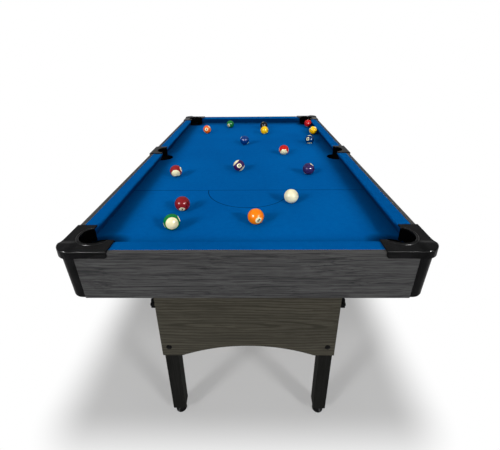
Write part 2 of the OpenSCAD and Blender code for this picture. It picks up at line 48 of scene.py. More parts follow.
# Sizes shared with the part
NOSE_X, NOSE_Y = 0.437, 0.865          # cushion noses
HALF_X, HALF_Y = 0.492, 0.920          # outer faces of the aprons at the rail top
RAIL_Z, BED_Z = 0.800, 0.762           # rail top and cloth of the bed
CORNER_IN = 0.024                      # corner pocket centre inside both nose lines
CORNER = (NOSE_X - CORNER_IN, NOSE_Y - CORNER_IN)
SIDE_RIM_X = 0.426                     # side pocket rim centre
SIDE_CUP_X = 0.445                     # side pocket hole centre
RAIL_CUT_R = 0.048                     # cut of the rails round the pockets
RAIL_STOP = 0.0225                     # rails end this far before a pocket's middle at the latest
JAW_L, JAW_ANGLE = 0.084, math.radians(13)
BED_HOLE_R = 0.046
BED_HALF_T = 0.00048                   # half the thickness of the bed's cloth
CAP_SLIM, CAP_SWELL, CAP_DROP = 0.55, 0.0035, 0.0035    # slim wings, raised corner, longer skirt
SKIRT_Z = (0.780, 0.794)               # heights between which a cap has only its skirt
HEAD_Y, D_R = -0.432, 0.157            # line and half circle on the cloth
PANEL_OUT = 0.840                      # outer face of the leg panels
BOLT_X, BOLT_Z = 0.2615, (0.3735, 0.595)
BALL_R = 0.0254
PHOTO_W, FOCAL_PX, SENSOR = 500, 321.36, 36    # width and focal length in pixels, sensor in mm
ENDS = (("near", -1), ("far", 1))
SIDES = (("left", -1), ("right", 1))


# Camera

def camera_axes():
    """Right, up and forward of the fitted camera."""
    yaw, pitch, roll = -0.01314, 0.42665, -0.00911
    side = Vector((math.cos(yaw), -math.sin(yaw), 0))
    ahead = Vector((math.sin(yaw), math.cos(yaw), 0))
    forward = ahead * math.cos(pitch) - Vector((0, 0, math.sin(pitch)))
    above = Vector((0, 0, math.cos(pitch))) + ahead * math.sin(pitch)
    right = side * math.cos(roll) + above * math.sin(roll)
    up = above * math.cos(roll) - side * math.sin(roll)
    return right, up, forward


CAM_AT = Vector((0.02063, -1.60005, 1.26357))
RIGHT, UP, FORWARD = camera_axes()


def make_camera():
    data = bpy.data.cameras.new("photo_camera")
    data.sensor_width = SENSOR
    data.lens = FOCAL_PX / PHOTO_W * SENSOR
    data.shift_y = -0.0563
    cam = bpy.data.objects.new("photo_camera", data)
    turn = Matrix((RIGHT, UP, -FORWARD)).transposed().to_4x4()
    cam.matrix_world = Matrix.Translation(CAM_AT) @ turn
    scene.collection.objects.link(cam)
    scene.camera = cam


# Node materials

class Look:
    """A material with a Principled shader and short calls for the nodes that feed it."""

    def __init__(self, name, **constants):
        self.mat = bpy.data.materials.new(name)
        self.mat.use_nodes = True
        self.tree = self.mat.node_tree
        self.tree.nodes.clear()
        self.shader = self.add("BsdfPrincipled")
        out = self.add("OutputMaterial")
        self.tree.links.new(self.shader.outputs[0], out.inputs[0])
        self.coords = self.add("TexCoord").outputs
        for key, value in constants.items():
            self.shader.inputs[key.replace("_", " ")].default_value = value

    def add(self, kind, **props):
        node = self.tree.nodes.new("ShaderNode" + kind)
        for key, value in props.items():
            setattr(node, key, value)
        return node

    def feed(self, socket, value):
        if isinstance(value, bpy.types.NodeSocket):
            self.tree.links.new(value, socket)
        else:
            socket.default_value = value

    def set(self, name, value):
        self.feed(self.shader.inputs[name], value)

    def math(self, op, a, b=0.0, c=0.0):
        node = self.add("Math", operation=op)
        for socket, value in zip(node.inputs, (a, b, c)):
            self.feed(socket, value)
        return node.outputs[0]

    def vector(self, op, a, b=(0, 0, 0), out=0):
        node = self.add("VectorMath", operation=op)
        self.feed(node.inputs[0], a)
        self.feed(node.inputs[1], b)
        return node.outputs[out]

    def noise(self, at, scale, detail=3.0, rough=0.5):
        node = self.add("TexNoise")
        self.feed(node.inputs["Vector"], at)
        node.inputs["Scale"].default_value = scale
        node.inputs["Detail"].default_value = detail
        node.inputs["Roughness"].default_value = rough
        return node.outputs["Fac"]

    def fade(self, value, low, high, to_low=0.0, to_high=1.0):
        node = self.add("MapRange", interpolation_type="SMOOTHSTEP")
        for socket, item in zip(node.inputs, (value, low, high, to_low, to_high)):
            self.feed(socket, item)
        return node.outputs[0]

    def mix(self, share, a, b):
        node = self.add("Mix", data_type="RGBA")
        self.feed(node.inputs[0], share)
        self.feed(node.inputs[6], a if isinstance(a, bpy.types.NodeSocket) else (*a, 1))
        self.feed(node.inputs[7], b if isinstance(b, bpy.types.NodeSocket) else (*b, 1))
        return node.outputs[2]

    def triple(self, value):
        node = self.add("CombineXYZ")
        for socket in node.inputs:
            self.feed(socket, value)
        return node.outputs[0]

    def bump(self, height, strength, depth):
        node = self.add("Bump")
        node.inputs["Strength"].default_value = strength
        node.inputs["Distance"].default_value = depth
        self.feed(node.inputs["Height"], height)
        self.set("Normal", node.outputs[0])


def cloth_look(name, dark, light, lines=False, face=1.0):
    """Napped billiard cloth. lines draws the head line and the half circle and paints shade beside
    the cushions and round the corner pockets of the bed; face paints shade on what hangs below the
    noses of the rails."""
    look = Look(name, Roughness=0.95, Specular_IOR_Level=0.0, Sheen_Weight=0.01,
                Sheen_Roughness=0.5, Sheen_Tint=(0.25, 0.5, 1, 1))
    at = look.coords["Object"]
    split = look.add("SeparateXYZ")
    look.feed(split.inputs[0], at)
    x, y, z = split.outputs
    fibre = look.noise(at, 1500, 3, 0.6)
    nap = look.noise(at, 55, 4, 0.6)
    broad = look.noise(at, 3.5, 2)
    share = look.math("MULTIPLY_ADD", fibre, 0.5, look.math("MULTIPLY_ADD", nap, 0.3, -0.15))
    share = look.math("MULTIPLY_ADD", broad, 0.4, share)
    colour = look.mix(look.fade(share, 0.2, 0.75), dark, light)
    if lines:
        from_line = look.math("SUBTRACT", y, HEAD_Y)
        flat = look.add("CombineXYZ")
        look.feed(flat.inputs[0], x)
        look.feed(flat.inputs[1], from_line)
        reach = look.vector("LENGTH", flat.outputs[0], out=1)
        off_arc = look.math("ABSOLUTE", look.math("SUBTRACT", reach, D_R))
        ahead = look.math("GREATER_THAN", from_line, 0.0)
        off_arc = look.math("ADD", off_arc, ahead)
        off = look.math("MINIMUM", look.math("ABSOLUTE", from_line), off_arc)
        colour = look.mix(look.fade(off, 0.0012, 0.0021, 0.9, 0.0), colour, (0.0, 0.014, 0.060))
        # Painted shade: the bed's cloth darkens towards the cushion noses and round the corner
        # pockets.
        past = look.vector("SUBTRACT", look.vector("ABSOLUTE", at), (NOSE_X, NOSE_Y, 0))
        edge = look.add("SeparateXYZ")
        look.feed(edge.inputs[0], past)
        near = look.math("MAXIMUM", edge.outputs[0], edge.outputs[1])
        flat = look.vector("MULTIPLY", look.vector("ABSOLUTE", at), (1, 1, 0))
        corner = look.vector("DISTANCE", flat, (*CORNER, 0), out=1)
        shade = look.math("MAXIMUM", look.fade(near, -0.110, 0.005, 0.0, 0.58),
                          look.fade(corner, 0.048, 0.105, 0.9, 0.0))
        colour = look.mix(shade, colour, (0.0, 0.008, 0.03))
    if face < 1:
        # Painted shade on the cushion faces: the cloth below the noses is darkened by face.
        clear_of_painted_shade = look.fade(z, RAIL_Z - 0.012, RAIL_Z - 0.0005)
        colour = look.mix(clear_of_painted_shade, [c * face for c in dark], colour)
    look.set("Base Color", colour)
    look.bump(look.math("MULTIPLY_ADD", nap, 0.4, fibre), 0.35, 0.0006)
    return look.mat


def grain_look(name, along, dark, light, edge=None, side=None, figure=0.0, rough=0.42, size=1.0,
               gloss=0.06):
    """Wood grain along axis 0, 1 or 2; edge colours the faces that look up, side those that
    look sideways."""
    look = Look(name, Specular_IOR_Level=gloss)

    def stretched(at, slow, quick):
        scale = [quick * size] * 3
        scale[along] = slow * size
        return look.vector("MULTIPLY", at, scale)

    plain = look.coords["Object"]
    drift = look.noise(stretched(plain, 2.2, 6.0), 1.0, 3)
    at = look.vector("ADD", plain, look.vector("MULTIPLY", look.triple(drift), (0.03, 0.03, 0.03)))
    streak = look.noise(stretched(at, 6.0, 300.0), 1.0, 5, 0.66)
    pores = look.noise(stretched(at, 16.0, 900.0), 1.0, 2, 0.5)
    bands = look.noise(stretched(at, 2.5, 60.0), 1.0, 3, 0.55)
    share = look.math("MULTIPLY_ADD", streak, 0.75, look.math("MULTIPLY", bands, 0.25))
    if figure:
        wave = look.add("TexWave", wave_type="RINGS", rings_direction="Y")
        heart = look.vector("ADD", stretched(at, 0.45, 6.0), (0.03, 0.0, -2.90))
        look.feed(wave.inputs["Vector"], heart)
        wave.inputs["Scale"].default_value = 4.6
        wave.inputs["Distortion"].default_value = 3.0
        wave.inputs["Detail"].default_value = 3.0
        wave.inputs["Detail Scale"].default_value = 1.5
        share = look.math("SUBTRACT", share, look.fade(wave.outputs["Fac"], 0.0, 0.45, figure, 0.0))
    share = look.math("SUBTRACT", share, look.math("MULTIPLY", look.fade(pores, 0.52, 0.7), 0.14))
    colour = look.mix(look.fade(share, 0.30, 0.64), dark, light)
    if edge:
        split = look.add("SeparateXYZ")
        look.feed(split.inputs[0], look.coords["Normal"])
        up = look.fade(split.outputs[2], 0.75, 0.95)
        tone = look.mix(look.fade(streak, 0.35, 0.65), [c * 0.8 for c in edge], edge)
        colour = look.mix(up, colour, tone)
    if side:
        split = look.add("SeparateXYZ")
        look.feed(split.inputs[0], look.coords["Normal"])
        turned = look.fade(look.math("ABSOLUTE", split.outputs[0]), 0.75, 0.95)
        colour = look.mix(turned, colour, side)
    look.set("Base Color", colour)
    look.set("Roughness", look.fade(streak, 0.3, 0.7, rough + 0.1, rough - 0.06))
    look.bump(look.math("SUBTRACT", streak, look.math("MULTIPLY", pores, 0.5)), 0.18, 0.0004)
    return look.mat


def moulded_look(name, dark, light, rough=0.38, grain=900, depth=0.00012, metallic=0.0, gloss=0.04,
                 pockets=1.0):
    """Moulded plastic, paint or plating with a fine skin; pockets paints shade inside the throats
    of the pockets."""
    look = Look(name, Metallic=metallic, Specular_IOR_Level=gloss)
    at = look.coords["Object"]
    skin = look.noise(at, grain, 3, 0.55)
    cloud = look.noise(at, 14, 4, 0.6)
    colour = look.mix(look.fade(cloud, 0.3, 0.7), dark, light)
    if pockets < 1:
        # Painted shade: darker inside the throats of the pockets.
        flat = look.vector("MULTIPLY", look.vector("ABSOLUTE", at), (1, 1, 0))
        corner = look.vector("DISTANCE", flat, (*CORNER, 0), out=1)
        side = look.vector("DISTANCE", flat, (SIDE_RIM_X, 0, 0), out=1)
        away = look.fade(look.math("MINIMUM", corner, side), 0.0455, 0.0480)
        colour = look.mix(away, [c * pockets for c in dark], colour)
    look.set("Base Color", colour)
    share = look.math("MULTIPLY_ADD", skin, 0.3, look.math("MULTIPLY", cloud, 0.7))
    look.set("Roughness", look.fade(share, 0.3, 0.7, rough - 0.06, rough + 0.08))
    look.bump(skin, 0.25, depth)
    return look.mat


def speckled_look(name, dark, light, rough=0.85):
    """Raw fibreboard or rubber: short fibres and specks."""
    look = Look(name, Specular_IOR_Level=0.2)
    at = look.coords["Object"]
    specks = look.noise(at, 420, 5, 0.7)
    cloud = look.noise(at, 9, 3)
    share = look.math("MULTIPLY_ADD", specks, 0.7, look.math("MULTIPLY", cloud, 0.3))
    look.set("Base Color", look.mix(look.fade(share, 0.35, 0.65), dark, light))
    look.set("Roughness", look.fade(specks, 0.3, 0.7, rough - 0.08, rough + 0.08))
    look.bump(specks, 0.3, 0.0003)
    return look.mat


def ball_look(name, centre, colour, pole, number_at, stripe):
    """Polished resin ball: plain, or with a stripe round pole and two number discs."""
    look = Look(name, Specular_IOR_Level=0.0, Coat_Weight=0.22, Coat_Roughness=0.18)
    cream = (0.84, 0.77, 0.47)
    at = look.vector("SUBTRACT", look.coords["Object"], tuple(centre))
    cloud = look.noise(at, 90, 3)
    body = look.mix(look.fade(cloud, 0.3, 0.7), [c * 0.9 for c in colour], colour)
    white = look.mix(look.fade(cloud, 0.3, 0.7), [c * 0.95 for c in cream], cream)
    if pole is not None:
        up = look.math("ABSOLUTE", look.vector("DOT_PRODUCT", at, tuple(pole), out=1))
        body = look.mix(look.fade(up, BALL_R * stripe, BALL_R * (stripe + 0.025)), body, white)
    if number_at is not None:
        out = look.math("ABSOLUTE", look.vector("DOT_PRODUCT", at, tuple(number_at), out=1))
        body = look.mix(look.fade(out, BALL_R * 0.912, BALL_R * 0.920), body, white)
    look.set("Base Color", body)
    look.set("Roughness", look.fade(look.noise(at, 400, 2), 0.3, 0.7, 0.10, 0.16))
    return look.mat


# Mesh pieces

def add_piece(name, verts, faces, look, body, smooth=True):
    mesh = bpy.data.meshes.new(name)
    mesh.from_pydata([tuple(v) for v in verts], [], faces)
    mesh.update()
    mesh.polygons.foreach_set("use_smooth", [smooth] * len(mesh.polygons))
    mesh.materials.append(look)
    piece = bpy.data.objects.new(name, mesh)
    scene.collection.objects.link(piece)
    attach(piece, body)
    return piece


def curve_mesh(name, curve):
    """The mesh that a curve or text makes."""
    holder = bpy.data.objects.new(name, curve)
    scene.collection.objects.link(holder)
    made = holder.evaluated_get(bpy.context.evaluated_depsgraph_get())
    mesh = bpy.data.meshes.new_from_object(made)
    bpy.data.objects.remove(holder)
    return mesh


def face_outwards(data):
    mesh = bmesh.new()
    mesh.from_mesh(data)
    bmesh.ops.recalc_face_normals(mesh, faces=mesh.faces)
    mesh.to_mesh(data)
    mesh.free()


def rounded(points, radii, steps=6):
    """A polyline with each inner corner rounded to its radius."""
    line = [Vector(points[0])]
    for before, corner, after, radius in zip(points, points[1:], points[2:], radii):
        corner = Vector(corner)
        a, b = (Vector(before) - corner), (Vector(after) - corner)
        half = a.angle(b) / 2
        back = min(radius / math.tan(half), a.length * 0.49, b.length * 0.49)
        radius = back * math.tan(half)
        middle = corner + (a.normalized() + b.normalized()).normalized() * radius / math.sin(half)
        first = corner + a.normalized() * back - middle
        last = corner + b.normalized() * back - middle
        swing = first.angle(last)
        for i in range(steps + 1):
            t = i / steps
            spoke = first * math.sin((1 - t) * swing) + last * math.sin(t * swing)
            line.append(middle + spoke / math.sin(swing))
    line.append(Vector(points[-1]))
    return line


def inset(line, depth):
    """The polyline moved by depth to the right of its course."""
    moved = []
    for i, point in enumerate(line):
        course = (line[min(i + 1, len(line) - 1)] - line[max(i - 1, 0)]).normalized()
        moved.append(point + Vector((course.y, -course.x)) * depth)
    return moved


def resampled(line, step):
    """The polyline with no stretch longer than step."""
    fine = [line[0]]
    for a, b in zip(line, line[1:]):
        count = math.ceil((b - a).length / step)
        fine += [a.lerp(b, i / count) for i in range(1, count + 1)]
    return fine


# Cloth section of a rail, from the apron over the nose to the bed: distance behind the nose, height
CLOTH_T = 0.0009
RAIL_FOOT, RAIL_W = -0.0376, 0.0408
RAIL_ROWS = 28                         # stretches of cloth along a rail, and across its ends
END_GAP = 0.0003                       # an end starts this far behind the nose and off the rail
END_WRAP = 0.036                       # length that an end adds to a rail's flat cloth
RAIL_SECTION = resampled(rounded(
    [(0.0418, -0.0022), (RAIL_W, 0.0), (0.003, 0.0), (0.0, -0.003), (0.0, -0.008),
     (0.0163, RAIL_FOOT)],
    [0.0012, 0.004, 0.003, 0.004]), 0.0025)


def round_end(across):
    """How far before a pocket's middle a rail ends, at a distance across from that middle."""
    return max(math.sqrt(max(RAIL_CUT_R ** 2 - across ** 2, 0.0)), RAIL_STOP)


def corner_end(behind):
    """The same at a corner pocket, where the nose also turns away in a jaw."""
    return max(round_end(CORNER_IN + behind), JAW_L - behind / math.tan(JAW_ANGLE))


def section_span(behind):
    """Lowest and highest point of the covered rail at a distance behind the nose."""
    heights = []
    for a, b in zip(RAIL_SECTION, RAIL_SECTION[1:]):
        if min(a.x, b.x) <= behind <= max(a.x, b.x) and a.x != b.x:
            heights.append(a.y + (b.y - a.y) * (behind - a.x) / (b.x - a.x))
    return (min(heights) if len(heights) > 1 else RAIL_FOOT), max(heights)


def rail_end(place, stop, way):
    """Cloth that closes a rail at one end; way is the direction along the rail that it faces."""
    verts, faces = [], []
    count, depth = RAIL_ROWS, RAIL_W - END_GAP
    for i in range(count + 1):
        behind = END_GAP + depth * i / count
        low, high = section_span(behind)
        at = stop(behind) + way * END_GAP
        for s in (at, at - way * CLOTH_T):
            verts += [place(s, behind, low), place(s, behind, high)]
    for i in range(count):
        a, b = 4 * i, 4 * i + 4
        faces += [(a, b, b + 1, a + 1), (a + 2, a + 3, b + 3, b + 2),
                  (a, a + 2, b + 2, b), (a + 1, b + 1, b + 3, a + 3)]
    for a in (0, 4 * count):
        faces.append((a, a + 1, a + 3, a + 2))
    spans = [section_span(END_GAP + depth * (i + 0.5) / count) for i in range(count)]
    area = sum((depth / count) * (high - low) for low, high in spans)
    return verts, faces, area


def rail_piece(name, place, low, high, look):
    """Cloth over one rail; place maps (along, behind, height) to the table, low and high give its
    ends."""
    outer = RAIL_SECTION
    loop = list(outer) + list(reversed(inset(outer, -CLOTH_T)))
    count, rows, half = len(loop), RAIL_ROWS, len(outer)
    verts, faces = [], []
    for row in range(rows + 1):
        t = row / rows
        verts += [place(low(u) * (1 - t) + high(u) * t, u, z) for u, z in loop]
    for row in range(rows):
        for k in range(count):
            a, b = row * count + k, row * count + (k + 1) % count
            faces.append((a, b, b + count, a + count))
    for row in (0, rows):
        for k in range(half - 1):
            faces.append([row * count + i for i in (k, k + 1, count - 2 - k, count - 1 - k)])
    pieces = list(zip(outer, outer[1:]))
    area = sum((b - a).length * (high((a.x + b.x) / 2) - low((a.x + b.x) / 2)) for a, b in pieces)
    longest = max(high(p.x) - low(p.x) for p in outer)
    for stop, way in ((low, -1), (high, 1)):
        more, skins, extra = rail_end(place, stop, way)
        faces += [[i + len(verts) for i in face] for face in skins]
        verts += more
        area += extra
        longest += END_WRAP
    piece = add_piece(name, verts, faces, look, "table")
    face_outwards(piece.data)
    piece.data.set_sharp_from_angle(angle=math.radians(40))
    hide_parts("cushion_cloths")
    return piece


def make_rails(look):
    def side_low(behind):
        return round_end(NOSE_X + behind - SIDE_RIM_X)

    def side_high(behind):
        return CORNER[1] - corner_end(behind)

    def end_high(behind):
        return CORNER[0] - corner_end(behind)

    for end, sy in ENDS:
        for side, sx in SIDES:
            rail_piece(f"rail_cloth_{side}_{end}",
                       lambda s, u, z, sx=sx, sy=sy: (sx * (NOSE_X + u), sy * s, RAIL_Z + z),
                       side_low, side_high, look)
        rail_piece(f"rail_cloth_{end}",
                   lambda s, u, z, sy=sy: (s, sy * (NOSE_Y + u), RAIL_Z + z),
                   lambda u: -end_high(u), end_high, look)


def make_bed_cloth(look):
    """Cloth stretched over the bed, cut out round the six pockets."""
    w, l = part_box("bed_cloth")[1][:2]
    cut = 0.040
    start = math.acos((w - SIDE_CUP_X) / BED_HOLE_R)
    arc = [(SIDE_CUP_X + BED_HOLE_R * math.cos(a), BED_HOLE_R * math.sin(a))
           for a in [2 * math.pi - start - i / 40 * (2 * math.pi - 2 * start) for i in range(41)]]
    right = [(w, -l + cut)] + arc + [(w, l - cut), (w - cut, l)]
    left = [(-x, -y) for x, y in right]
    outline = [(w - cut, -l)] + right + [(-w + cut, l)] + left
    circle = [(BED_HOLE_R * math.cos(a), BED_HOLE_R * math.sin(a))
              for a in [i / 64 * 2 * math.pi for i in range(64)]]
    loops = [outline] + [[(sx * CORNER[0] + x, sy * CORNER[1] + y) for x, y in circle]
                         for sx in (-1, 1) for sy in (-1, 1)]
    curve = bpy.data.curves.new("bed_cloth_cut", "CURVE")
    curve.dimensions = "2D"
    curve.fill_mode = "BOTH"
    curve.extrude = BED_HALF_T
    for loop in loops:
        spline = curve.splines.new("POLY")
        spline.points.add(len(loop) - 1)
        spline.points.foreach_set("co", [c for x, y in loop for c in (x, y, 0, 1)])
        spline.use_cyclic_u = True
    mesh = curve_mesh("bed_cloth_cut", curve)
    mesh.name = "bed_cloth_sheet"
    mesh.transform(Matrix.Translation((0, 0, BED_Z - BED_HALF_T)))
    mesh.materials.clear()
    mesh.materials.append(look)
    piece = bpy.data.objects.new("bed_cloth_sheet", mesh)
    scene.collection.objects.link(piece)
    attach(piece, "table")

    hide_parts("bed_cloth")


# Balls: colour, number's place and stripe's pole as seen in the picture (right, up), text turn
BALLS = {
    "cue": ((0.83, 0.79, 0.53), None, None, 0),
    "1": ((0.86, 0.50, 0.004), (0.10, -0.985), None, 0),
    "2": ((0.0, 0.034, 0.18), (-0.76, 0.64, -0.05), None, 0),
    "3": ((0.50, 0.008, 0.010), (-0.10, -0.985), None, 0),
    "4": ((0.032, 0.017, 0.090), (0.57, 0.80), None, 0),
    "5": ((0.98, 0.22, 0.004), (0.36, -0.50), None, -38),
    "6": ((0.004, 0.15, 0.030), (-0.50, -0.40), None, 15),
    "7": ((0.22, 0.009, 0.013), (-0.03, -0.81), None, 0),
    "8": ((0.005, 0.005, 0.006), (-0.35, 0.93, -0.15), None, 0),
    "9": ((0.90, 0.50, 0.004), (0.70, -0.62, -0.35), (0.66, 0.74, 0.15), 0),
    "10": ((0.0, 0.030, 0.12), (-0.44, 0.16), (0.0, 0.99, -0.15), 0),
    "11": ((0.52, 0.009, 0.006), (1.0, 0.0), (0.0, -0.68, 0.73), 0),
    "12": ((0.040, 0.012, 0.085), (0.05, -0.04), (-0.70, 0.69, 0.07), 45),
    "13": ((0.86, 0.13, 0.010), (-0.19, 0.06), (0.70, 0.70, 0.15), -45),
    "14": ((0.0, 0.19, 0.035), (0.90, 0.40), (0.05, -0.25, 0.967), 20),
    "15": ((0.26, 0.011, 0.013), (0.90, 0.32), (-0.03, -0.63, 0.78), 0),
}
STRIPE = 0.66                          # half width of a stripe, in ball radii
STRIPES = {"9": 0.83, "10": 0.765, "13": 0.83}    # those that differ
INK_OUT = 0.00007                      # the numbers stand this far off the balls


def seen_from(centre, spot):
    """Direction from a ball's centre to a spot given as right and up in the picture."""
    back = (CAM_AT - centre).normalized()
    right = (RIGHT - back * RIGHT.dot(back)).normalized()
    up = back.cross(right)
    x, y = spot[:2]
    z = spot[2] if len(spot) > 2 else math.sqrt(max(1 - x * x - y * y, 0.0))
    return (right * x + up * y + back * z).normalized(), right, up


def number_piece(name, text, centre, axis, tip, turn, look):
    """The number on both sides of a ball, laid on its surface."""
    curve = bpy.data.curves.new(name, "FONT")
    curve.body = text
    curve.align_x = "CENTER"
    curve.align_y = "CENTER"
    curve.size = 0.014 if len(text) == 1 else 0.0115
    curve.offset = 0.0008
    curve.resolution_u = 3
    flat = curve_mesh(name, curve)
    shape = bmesh.new()
    shape.from_mesh(flat)
    if text in ("6", "9"):
        bar = [shape.verts.new((x, y, 0)) for x, y in
               ((-0.0028, -0.0062), (0.0028, -0.0062), (0.0028, -0.0051), (-0.0028, -0.0051))]
        shape.faces.new(bar)
    bmesh.ops.triangulate(shape, faces=shape.faces)
    for _ in range(3):
        long_ones = [e for e in shape.edges if e.calc_length() > 0.0014]
        if long_ones:
            bmesh.ops.subdivide_edges(shape, edges=long_ones, cuts=1)
            bmesh.ops.triangulate(shape, faces=shape.faces)
    spin = Matrix.Rotation(math.radians(turn), 2)
    points = [spin @ Vector(v.co[:2]) for v in shape.verts]
    shape.verts.index_update()
    tris = [[v.index for v in f.verts] for f in shape.faces]
    shape.free()
    verts, faces = [], []
    for way in (1, -1):
        out = axis * way
        high = (tip - out * tip.dot(out)).normalized()
        side = high.cross(out)
        base = len(verts)
        for p in points:
            spoke = (out * BALL_R + side * p.x + high * p.y).normalized()
            verts.append(centre + spoke * (BALL_R + INK_OUT))
        faces += [[base + i for i in tri] for tri in tris]
    piece = add_piece(name, verts, faces, look, "ball_" + text)


def make_balls(ink):
    for name, (colour, spot, pole, turn) in BALLS.items():
        low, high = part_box("ball_" + name)
        centre = (Vector(low) + Vector(high)) / 2
        axis = stripe = None
        if spot:
            axis, _, tip = seen_from(centre, spot)
        if pole:
            stripe, _, _ = seen_from(centre, pole)
            axis = (axis - stripe * axis.dot(stripe)).normalized()
        dress(nodes["ball_" + name], ball_look("resin_" + name, centre, colour, stripe, axis,
                                                STRIPES.get(name, STRIPE)))
        if spot:
            if abs(axis.dot(tip)) > 0.9:
                tip = RIGHT
            number_piece("number_" + name, name, centre, axis, tip, turn, ink)


# Corner caps
CAP_OUT = 0.006                        # caps stand this far outside the aprons
CAP_CUT, CAP_CUTS = 0.004, 25          # they are cut this finely, so that they can be formed


def step(value, low, high):
    """Smooth step from 0 at low to 1 at high."""
    t = min(max((value - low) / (high - low), 0.0), 1.0)
    return t * t * (3 - 2 * t)


def cap_form(x, y, z):
    """A point of a corner cap, moved to slim wings and a full, raised corner."""
    slim_x = 1 - step(y, HALF_Y - 0.069, HALF_Y - 0.029)
    slim_y = 1 - step(x, HALF_X - 0.069, HALF_X - 0.029)
    full = step(x, HALF_X - 0.052, HALF_X - 0.030) * step(y, HALF_Y - 0.052, HALF_Y - 0.030)
    if x > HALF_X:
        x -= (x - HALF_X) * CAP_SLIM * slim_x
    if y > HALF_Y:
        y -= (y - HALF_Y) * CAP_SLIM * slim_y
    if z > RAIL_Z:
        z += CAP_SWELL * full * min((z - RAIL_Z) / 0.002, 1.0)
    elif SKIRT_Z[0] < z < SKIRT_Z[1]:
        z -= CAP_DROP * min((SKIRT_Z[1] - z) / 0.007, 1.0)
    return x, y, z


def make_corner_caps(plain, glossy):
    for end, sy in ENDS:
        for side, sx in SIDES:
            node = nodes[f"corner_cap_{end}_{side}"]
            mesh = bmesh.new()
            mesh.from_mesh(node.data)
            bmesh.ops.remove_doubles(mesh, verts=mesh.verts, dist=0.00001)
            for i in range(1, CAP_CUTS):
                back = CAP_OUT - CAP_CUT * i
                for at, way in (((sx * (HALF_X + back), 0, 0), (1, 0, 0)),
                                ((0, sy * (HALF_Y + back), 0), (0, 1, 0))):
                    every = mesh.verts[:] + mesh.edges[:] + mesh.faces[:]
                    bmesh.ops.bisect_plane(mesh, geom=every, dist=0.000005, plane_co=at,
                                           plane_no=way)
            for face in mesh.faces:
                centre = face.calc_center_median()
                x, y, z = abs(centre.x), abs(centre.y), centre.z
                outside = x > HALF_X + 0.002 or y > HALF_Y + 0.002
                rim = abs(math.hypot(x - CORNER[0], y - CORNER[1]) - 0.0465) < 0.002
                rounded_edge = 0.15 < face.normal.z < 0.97 and z > RAIL_Z
                face.material_index = 1 if rounded_edge and (outside or rim) else 0
                face.smooth = True
            for vert in mesh.verts:
                x, y, z = cap_form(abs(vert.co.x), abs(vert.co.y), vert.co.z)
                vert.co = (sx * x, sy * y, z)
            data = bpy.data.meshes.new(f"cap_shell_{end}_{side}")
            mesh.to_mesh(data)
            mesh.free()
            data.set_sharp_from_angle(angle=math.radians(35))
            data.materials.append(plain)
            data.materials.append(glossy)
            piece = bpy.data.objects.new(data.name, data)
            scene.collection.objects.link(piece)
            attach(piece, "table")
            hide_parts(node.name)


# Raised lip round a corner pocket: distance from the pocket's middle, height over the rail top
LIP_FOOT = 0.0034
LIP_SECTION = rounded([(0.0451, 0.0004), (0.0451, 0.0050), (0.0468, 0.0073), (0.0492, 0.0073),
                       (0.0522, 0.0058), (0.0538, LIP_FOOT)], [0.0015, 0.003, 0.004, 0.003], 4)
LIP_CREST = 0.0480                     # inside it the lip is polished
LIP_FROM, LIP_TO, LIP_FADE = math.radians(-57), math.radians(147), math.radians(25)


def make_cap_lips(plain, rim, flank):
    count, rows = len(LIP_SECTION), 72
    for end, sy in ENDS:
        for side, sx in SIDES:
            verts, faces = [], []
            for row in range(rows + 1):
                a = LIP_FROM + (LIP_TO - LIP_FROM) * row / rows
                rise = step(a, LIP_FROM, LIP_FROM + LIP_FADE) * step(-a, -LIP_TO, LIP_FADE - LIP_TO)
                for r, h in LIP_SECTION:
                    h = min(h, LIP_FOOT) + max(h - LIP_FOOT, 0.0) * max(rise, 0.02)
                    x, y, z = cap_form(CORNER[0] + r * math.cos(a),
                                       CORNER[1] + r * math.sin(a), RAIL_Z + h)
                    verts.append((sx * x, sy * y, z))
            for row in range(rows):
                for k in range(count):
                    a, b = row * count + k, row * count + (k + 1) % count
                    faces.append((a, b, b + count, a + count))
            faces += [list(range(count)), list(range(rows * count, (rows + 1) * count))]
            piece = add_piece(f"cap_lip_{end}_{side}", verts, faces, plain, "table")
            face_outwards(piece.data)
            piece.data.set_sharp_from_angle(angle=math.radians(50))
            piece.data.materials.append(rim)
            piece.data.materials.append(flank)
            for face in piece.data.polygons:
                r = math.hypot(abs(face.center.x) - CORNER[0], abs(face.center.y) - CORNER[1])
                if 0.2 < face.normal.z < 0.93:
                    face.material_index = 1 if r < LIP_CREST else 2


# Fittings that the solids leave out, and dark sockets of painted shade: radius and height of their
# rings
WASHER_RINGS = [(0.0092, 0.0), (0.0092, 0.0007), (0.0086, 0.0011), (0.0060, 0.0011)]
# The sockets are dark hexagons on the bolt heads, painted shade in place of hollow sockets.
SOCKET_RINGS = [(0.0024, 0.0020), (0.0024, 0.00305), (0.0021, 0.0031)]


def ring_mesh(centre, rings, sides, out):
    """A turned skin about the Y axis; rings are (radius, height along out)."""
    verts, faces = [], []
    for radius, height in rings:
        for i in range(sides):
            a = (i + 0.5) / sides * 2 * math.pi
            verts.append((centre[0] + radius * math.cos(a), centre[1] + out * height,
                          centre[2] + radius * math.sin(a)))
    for r in range(len(rings) - 1):
        for i in range(sides):
            a, b = r * sides + i, r * sides + (i + 1) % sides
            quad = (a, b, b + sides, a + sides)
            faces.append(quad if out > 0 else quad[::-1])
    last = [(len(rings) - 1) * sides + i for i in range(sides)]
    faces.append(last if out > 0 else last[::-1])
    return verts, faces


